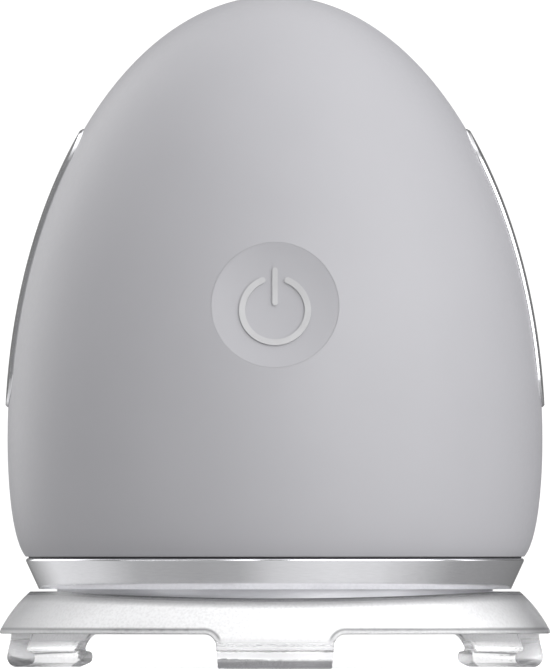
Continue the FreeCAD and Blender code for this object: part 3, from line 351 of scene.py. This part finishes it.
def ring_frost_and_painted_shade(tree):
    """Two masks over the pad ring: how frosted it is, and where painted shade lies on it: a grey band below the
    rim, a grey line along the hem and grey claw ends.
    """
    x, y, z = axes(tree, object_place(tree))
    turn = math_node(tree, "ARCTAN2", x, math_node(tree, "MULTIPLY", y, -1.0))
    from_claw = math_node(tree, "PINGPONG", turn, math.pi / CLAW_COUNT)
    aside = math_node(tree, "MULTIPLY", length(tree, x, y), math_node(tree, "SINE", from_claw))

    # How far in from the hem, which runs round the claws' fillets
    above = past(tree, z, HEM_Z - CLAW_FILLET)
    inside = past(tree, CLAW_HALF_WIDTH + CLAW_FILLET, aside)
    reach = length(tree, above, inside)
    from_hem = spread(tree, reach, HEM_FROST, 1.0, CLAW_FILLET, CLAW_FILLET + HEM_MARGIN)
    # Painted shade: a grey line along the hem
    off_line = apart(tree, reach, CLAW_FILLET + HEM_LINE)
    line = spread(tree, off_line, HEM_PAINTED_SHADE_SHARE, 0.0, 0.0, HEM_LINE_HALF)

    # How far down from the rim, which dips towards the middle; the flat land on it stays mostly frosted and mostly
    # free of the painted shade
    dip = math_node(tree, "MULTIPLY", square(tree, x), RIM_DIP / RIM_DIP_HALF_WIDTH**2)
    rim_z = math_node(tree, "MINIMUM", math_node(tree, "ADD", dip, RIM_Z - RIM_DIP), RIM_Z)
    from_rim = spread(tree, math_node(tree, "SUBTRACT", rim_z, z), 0.0, 1.0, 0.0, RIM_MARGIN)
    upward = axes(tree, tree.nodes.new("ShaderNodeNewGeometry").outputs["Normal"])[2]
    land = spread(tree, upward, 0.0, LAND_SHARE, LAND_START, LAND_END)
    off_rim = math_node(tree, "MAXIMUM", from_rim, land)

    skirt = spread(tree, z, 0.0, 1.0, FROST_START, FROST_END)
    frost = math_node(tree, "MULTIPLY", math_node(tree, "MINIMUM", from_hem, off_rim), skirt)
    # Painted shade: grey below the rim and along the hem on the skirt, and on the claw ends below the skirt
    painted_shade = math_node(tree, "MAXIMUM", math_node(tree, "SUBTRACT", 1.0, off_rim), line)
    claw_end_shade = spread(tree, aside, 0.0, CLAW_END_PAINTED_SHADE_SHARE, CLAW_HALF_WIDTH - CLAW_END_DEPTH, CLAW_HALF_WIDTH)
    return frost, blend(tree, skirt, claw_end_shade, painted_shade)


def clear_ring():
    """Clear plastic: a frosted skirt under a polished rim, clearer seen edge on, and polished claws, with painted
    shade in grey below the rim, along the hem and on the claw ends.
    """
    made, tree, shader = new_material("clear_ring")
    frost, painted_shade = ring_frost_and_painted_shade(tree)
    grain = noise(tree, RING_GRAIN, RING_GRAIN_DETAIL)
    painted_shade_mix = tree.nodes.new("ShaderNodeMix")
    painted_shade_mix.data_type = "RGBA"
    # Painted shade: the grain's white turns grey where the shade mask says
    tree.links.new(painted_shade, painted_shade_mix.inputs[MIX_SHARE])
    tree.links.new(ramp(tree, grain, [RING_SHADE, RING_WHITE]), painted_shade_mix.inputs[MIX_FIRST])
    painted_shade_mix.inputs[MIX_SECOND].default_value = PAINTED_SHADE_GREY
    tree.links.new(painted_shade_mix.outputs[MIX_RESULT], shader.inputs["Base Color"])
    rough = spread(tree, frost, POLISHED_ROUGH, FROSTED_ROUGH, 0.0, 1.0)
    tree.links.new(rough, shader.inputs["Roughness"])
    slant = ring_wall(tree)
    weight = tree.nodes.new("ShaderNodeLayerWeight")
    tree.links.new(slant, weight.inputs["Normal"])
    edge_on = spread(tree, weight.outputs["Facing"], 0.0, 1.0, EDGE_ON_START, EDGE_ON_END)
    frosted_clear = blend(tree, edge_on, FACE_ON_CLEAR, EDGE_ON_CLEAR)
    clear = blend(tree, frost, POLISHED_CLEAR, frosted_clear)
    tree.links.new(clear, shader.inputs["Transmission Weight"])
    bump(tree, shader, grain, RING_GRAIN_DEPTH, slant)
    set_sockets(shader, {"IOR": PLASTIC_IOR})
    return made


# The egg has a satin soft-touch paint, the cap the same a shade smoother, and the standby sign, a translucent
# white on the real thing, is a plain paler grey here.
MOULDED = {
    "soft_grey": dict(
        dark=(0.405, 0.402, 0.425), light=(0.425, 0.422, 0.445), rough=(0.42, 0.50), grain=9000, depth=3,
        patches=45, Specular_IOR_Level=0.45,
    ),
    "button_grey": dict(
        dark=(0.405, 0.402, 0.425), light=(0.425, 0.422, 0.445), rough=(0.38, 0.44), grain=9000, depth=3,
        patches=70, Specular_IOR_Level=0.45,
    ),
    "icon_pale": dict(
        dark=(0.48, 0.48, 0.49), light=(0.53, 0.53, 0.54), rough=(0.35, 0.45), grain=6000, depth=4,
        patches=300,
    ),
    "seal_dark": dict(
        dark=(0.02, 0.02, 0.022), light=(0.035, 0.035, 0.038), rough=(0.55, 0.7), grain=5000, depth=6,
    ),
    "board_green": dict(
        dark=(0.01, 0.09, 0.04), light=(0.02, 0.13, 0.06), rough=(0.3, 0.45), grain=3000, depth=10,
    ),
    "chip_black": dict(
        dark=(0.012, 0.012, 0.013), light=(0.025, 0.025, 0.026), rough=(0.45, 0.6), grain=6000, depth=5,
    ),
    "lamp_white": dict(
        dark=(0.78, 0.76, 0.68), light=(0.85, 0.83, 0.76), rough=(0.3, 0.4), grain=5000, depth=4,
    ),
    "socket_white": dict(
        dark=(0.72, 0.71, 0.66), light=(0.80, 0.79, 0.74), rough=(0.4, 0.5), grain=4000, depth=6,
    ),
    "base_black": dict(
        dark=(0.022, 0.022, 0.024), light=(0.035, 0.035, 0.037), rough=(0.45, 0.6), grain=4000, depth=8,
    ),
    "battery_foil": dict(
        dark=(0.55, 0.56, 0.58), light=(0.66, 0.67, 0.69), rough=(0.25, 0.4), grain=1500, depth=30,
        Metallic=0.8,
    ),
    "foam_black": dict(
        dark=(0.012, 0.012, 0.012), light=(0.03, 0.03, 0.03), rough=(0.85, 0.95), grain=2500, depth=80,
    ),
    "sleeve_rubber": dict(
        dark=(0.015, 0.015, 0.016), light=(0.03, 0.03, 0.031), rough=(0.65, 0.8), grain=3500, depth=10,
    ),
    "weight_metal": dict(
        dark=(0.30, 0.29, 0.28), light=(0.40, 0.39, 0.37), rough=(0.35, 0.5), grain=3000, depth=10,
        Metallic=1.0,
    ),
    "carrier_white": dict(
        dark=(0.70, 0.70, 0.68), light=(0.78, 0.78, 0.76), rough=(0.4, 0.5), grain=4000, depth=6,
    ),
    "heater_amber": dict(
        dark=(0.45, 0.18, 0.03), light=(0.58, 0.26, 0.05), rough=(0.2, 0.3), grain=2500, depth=10,
    ),
    "sensor_black": dict(
        dark=(0.012, 0.012, 0.013), light=(0.025, 0.025, 0.026), rough=(0.3, 0.45), grain=6000, depth=5,
    ),
    "contact_brass": dict(
        dark=(0.72, 0.50, 0.20), light=(0.80, 0.58, 0.26), rough=(0.18, 0.3), grain=2500, depth=5,
        Metallic=1.0,
    ),
    "tongue_black": dict(
        dark=(0.012, 0.012, 0.013), light=(0.025, 0.025, 0.026), rough=(0.4, 0.55), grain=6000, depth=5,
    ),
}
PLATED = {
    "polished_chrome": dict(rough=(0.11, 0.16)),
    "probe_metal": dict(rough=(0.42, 0.50), level=0.72, metallic=0.6),
    "screw_steel": dict(rough=(0.22, 0.34)),
    "motor_steel": dict(rough=(0.25, 0.35)),
    "port_steel": dict(rough=(0.16, 0.26)),
}
FINISHES = {
    "clear_ring": clear_ring(),
    **{name: moulded(name, **look) for name, look in MOULDED.items()},
    **{name: plated(name, **look) for name, look in PLATED.items()},
}


def dress_nodes():
    """Gives each node of the model the finish of its own slot."""
    for subpart in frame["record"]["subparts"]:
        node = frame["nodes"][subpart["node"]]
        node.data.materials.clear()
        node.data.materials.append(FINISHES[subpart["material_slot"]])


# Small fittings

# Lip round the button: where the button's axis meets the egg, and the slit that the lip closes
BUTTON_PLACE = Vector((0.0, -31.76 * MM, 44.87 * MM))
SLIT_INNER = 7.86 * MM
SLIT_OUTER = 7.925 * MM
EDGE_RADIUS = 7.98 * MM
EDGE_SEARCH = 5.0 * MM
LIP_SINK = 0.02 * MM
LIP_THICKNESS = 0.3 * MM
LIP_STEPS = 144

# Contacts of the charging port, in a row on each face of its tongue
CONTACT_COUNT = 12
CONTACT_WIDTH = 0.28 * MM
CONTACT_LENGTH = 3.4 * MM
CONTACT_PROUD = 0.03 * MM
CONTACT_SINK = 0.05 * MM
CONTACT_PITCH = 0.5 * MM
CONTACT_EDGE_STEPS = 2
TONGUE_HALF_THICKNESS = 0.35 * MM


def new_piece(name, points, faces):
    """A mesh object of its own, linked into the scene."""
    mesh = bpy.data.meshes.new(name)
    mesh.from_pydata(points, [], faces)
    piece = bpy.data.objects.new(name, mesh)
    bpy.context.scene.collection.objects.link(piece)
    return piece


def make_button_lip():
    """A soft lip in the slit round the button, a hair under the egg's own surface."""
    press = next(joint for joint in frame["joints"] if joint["name"] == "button_press")
    out = -Vector(press["axis"]).normalized()
    across = Vector((1.0, 0.0, 0.0))
    upward = out.cross(across)
    shell = frame["nodes"]["front_shell"].data
    surface = BVHTree.FromPolygons(
        [vertex.co for vertex in shell.vertices], [face.vertices for face in shell.polygons]
    )
    points, faces = [], []
    for step in range(LIP_STEPS):
        turn = 2 * math.pi * step / LIP_STEPS
        way = across * math.cos(turn) + upward * math.sin(turn)
        spot = surface.ray_cast(BUTTON_PLACE + way * EDGE_RADIUS + out * EDGE_SEARCH, -out)[0]
        top = (spot - BUTTON_PLACE).dot(out) - LIP_SINK
        bottom = top - LIP_THICKNESS
        section = ((SLIT_INNER, top), (SLIT_OUTER, top), (SLIT_OUTER, bottom), (SLIT_INNER, bottom))
        points += [BUTTON_PLACE + way * radius + out * height for radius, height in section]
        corners = len(section)
        here, there = corners * step, corners * ((step + 1) % LIP_STEPS)
        for first in range(corners):
            second = (first + 1) % corners
            faces.append((here + first, there + first, there + second, here + second))
    piece = new_piece("button_lip", points, faces)
    piece.data.materials.append(FINISHES["soft_grey"])
    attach(piece, "housing")


def contact(name, low, high, round_radius):
    """A flat metal strip with its edges rounded."""
    size = [b - a for a, b in zip(low, high)]
    middle = Vector([(a + b) / 2 for a, b in zip(low, high)])
    corners = [(x, y, z) for x in (-1, 1) for y in (-1, 1) for z in (-1, 1)]
    points = [middle + Vector([c * s / 2 for c, s in zip(corner, size)]) for corner in corners]
    faces = [(0, 1, 3, 2), (4, 6, 7, 5), (0, 4, 5, 1), (2, 3, 7, 6), (0, 2, 6, 4), (1, 5, 7, 3)]
    piece = new_piece(name, points, faces)
    rounding = piece.modifiers.new("rounding", "BEVEL")
    rounding.width = round_radius
    rounding.segments = CONTACT_EDGE_STEPS
    return piece


def make_port_contacts():
    """Gilt contacts along both faces of the charging port's tongue."""
    low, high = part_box("port_tongue")
    middle_z = (low.z + high.z) / 2
    end = high.y - CONTACT_WIDTH
    for face, side in (("upper", 1), ("lower", -1)):
        inside = middle_z + side * (TONGUE_HALF_THICKNESS - CONTACT_SINK)
        outside = middle_z + side * (TONGUE_HALF_THICKNESS + CONTACT_PROUD)
        for index in range(CONTACT_COUNT):
            x = (index - (CONTACT_COUNT - 1) / 2) * CONTACT_PITCH
            piece = contact(
                f"port_contact_{face}_{index + 1}",
                (x - CONTACT_WIDTH / 2, end - CONTACT_LENGTH, min(inside, outside)),
                (x + CONTACT_WIDTH / 2, end, max(inside, outside)),
                CONTACT_PROUD / 2,
            )
            piece.data.materials.append(FINISHES["contact_brass"])
            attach(piece, "housing")


# Studio


def make_floor():
    """A pale table top, open from below, that stays out of reflections and soft light."""
    half = FLOOR_SIZE / 2
    corners = [(-half, -half, 0), (half, -half, 0), (half, half, 0), (-half, half, 0)]
    floor = new_piece("floor", corners, [(0, 1, 2, 3)])
    white = moulded("floor_white", **FLOOR_LOOK)
    tree = white.node_tree
    shader = tree.nodes["Principled BSDF"]
    set_sockets(shader, {"Emission Color": WHITE, "Emission Strength": FLOOR_GLOW})
    below = tree.nodes.new("ShaderNodeMixShader")
    tree.links.new(tree.nodes.new("ShaderNodeNewGeometry").outputs["Backfacing"], below.inputs["Fac"])
    tree.links.new(shader.outputs["BSDF"], below.inputs[1])
    tree.links.new(tree.nodes.new("ShaderNodeBsdfTransparent").outputs["BSDF"], below.inputs[2])
    tree.links.new(below.outputs["Shader"], tree.nodes["Material Output"].inputs["Surface"])
    floor.data.materials.append(white)
    floor.visible_diffuse = False
    floor.visible_glossy = False


def way_round(tree):
    """Which way a ray goes: its angle round the studio from the camera, and its climb."""
    x, y, z = axes(tree, tree.nodes.new("ShaderNodeTexCoord").outputs["Generated"])
    return math_node(tree, "ARCTAN2", x, math_node(tree, "MULTIPLY", y, -1.0)), z


def studio_level(tree, azimuth, climb):
    """How bright the studio is in each direction: walls all round, ground, low light and ceiling."""
    turn = spread(tree, azimuth, 0.0, 1.0, -math.pi, math.pi)

    def all_round(level, shares):
        stops = [((angle + 180) / 360, (share, share, share)) for angle, share in shares]
        return math_node(tree, "MULTIPLY", ramp(tree, turn, stops), level)

    wall, ground = all_round(WALL_LEVEL, WALL_SHARES), all_round(GROUND_LEVEL, GROUND_SHARES)
    low = spread(tree, climb, 0.0, 1.0, GROUND_START, GROUND_END)
    high = spread(tree, climb, 0.0, 1.0, CEILING_START, CEILING_END)
    off_light = apart(tree, climb, LOW_LIGHT_CLIMB)
    near = spread(tree, off_light, 1.0, 0.0, LOW_LIGHT_CORE, LOW_LIGHT_HALF)
    low_light = math_node(tree, "MULTIPLY", all_round(LOW_LIGHT_LEVEL, LOW_LIGHT_SHARES), near)
    around = math_node(tree, "ADD", blend(tree, low, wall, ground), low_light)
    return blend(tree, high, around, CEILING_LEVEL)


def make_world():
    """White behind the object, straight on and through it, and the studio as light."""
    world = bpy.data.worlds.new("studio")
    world.use_nodes = True
    tree = world.node_tree
    tree.nodes.clear()
    output = tree.nodes.new("ShaderNodeOutputWorld")
    path = tree.nodes.new("ShaderNodeLightPath")
    azimuth, climb = way_round(tree)
    from_front = math_node(tree, "ABSOLUTE", azimuth)
    behind = spread(tree, from_front, 0.0, 1.0, BACKDROP_START, BACKDROP_END)
    through = math_node(tree, "MULTIPLY", path.outputs["Is Transmission Ray"], behind)
    seen = math_node(tree, "MAXIMUM", path.outputs["Is Camera Ray"], through)
    background = tree.nodes.new("ShaderNodeBackground")
    set_sockets(background, {"Color": WHITE})
    level = blend(tree, seen, studio_level(tree, azimuth, climb), BACKDROP_LEVEL)
    tree.links.new(level, background.inputs["Strength"])
    tree.links.new(background.outputs["Background"], output.inputs["Surface"])
    bpy.context.scene.world = world


def make_camera():
    """A long lens, straight on to the button, that frames the picture at its own scale."""
    frame_height = IMAGE_HEIGHT * MM_PER_PIXEL * MM
    target = Vector((0.0, 0.0, (FLOOR_ROW - IMAGE_HEIGHT / 2) * MM_PER_PIXEL * MM))
    data = bpy.data.cameras.new("camera")
    data.sensor_width = CAMERA_SENSOR
    data.lens = CAMERA_SENSOR * CAMERA_DISTANCE / frame_height
    data.clip_end = CAMERA_CLIP
    camera = bpy.data.objects.new("camera", data)
    camera.location = (0.0, -CAMERA_DISTANCE, CAMERA_HEIGHT)
    camera.rotation_euler = (target - camera.location).to_track_quat("-Z", "Y").to_euler()
    bpy.context.scene.collection.objects.link(camera)
    bpy.context.scene.camera = camera


dress_nodes()
make_button_lip()
make_port_contacts()
make_floor()
make_world()
make_camera()
bpy.context.scene.view_settings.view_transform = "Standard"
